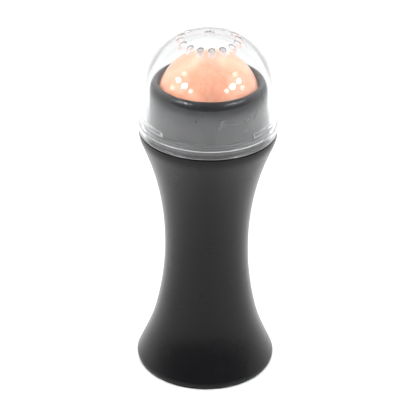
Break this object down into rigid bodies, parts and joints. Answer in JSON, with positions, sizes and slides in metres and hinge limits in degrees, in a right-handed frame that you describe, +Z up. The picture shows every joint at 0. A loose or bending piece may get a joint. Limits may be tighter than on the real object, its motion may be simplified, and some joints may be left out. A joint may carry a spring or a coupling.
{
  "type": "facial stone roller",
  "caption": "Upright hand-held facial roller: waisted handle, stone ball in a twist-off collar, under a vented clear dome cap.",
  "frame": {"origin": "centre of the flat foot, on the surface it stands on", "axes": "+Z up along the handle, towards the ball; -Y the front, where the alignment mark is; +X to the right"},
  "size_m": [0.0358, 0.0358, 0.0919],
  "materials": {
    "handle_plastic": "satin",
    "collar_plastic": "gloss",
    "seat_plastic": "smooth",
    "peach_stone": "polished",
    "clear_plastic": "clear, polished"
  },
  "bodies": {
    "handle": {"base_plate": "handle_plastic", "handle_shell": "handle_plastic", "neck_socket": "collar_plastic", "ball_seat": "seat_plastic"},
    "ball": {"stone_ball": "peach_stone"},
    "ring": {"retaining_ring": "collar_plastic"},
    "cap": {"clear_cap": "clear_plastic"}
  },
  "joints": [
    {"name": "cap_lift", "type": "slide", "parent": "handle", "child": "cap", "axis": [0, 0, 1], "range_m": [0, 0.03]},
    {"name": "ring_twist", "type": "hinge", "parent": "handle", "child": "ring", "pos_m": [0, 0, 0.0745], "axis": [0, 0, 1], "range_deg": [0, 40]},
    {"name": "ball_roll", "type": "hinge", "parent": "handle", "child": "ball", "pos_m": [0, 0, 0.0744], "axis": [1, 0, 0], "continuous": true}
  ]
}
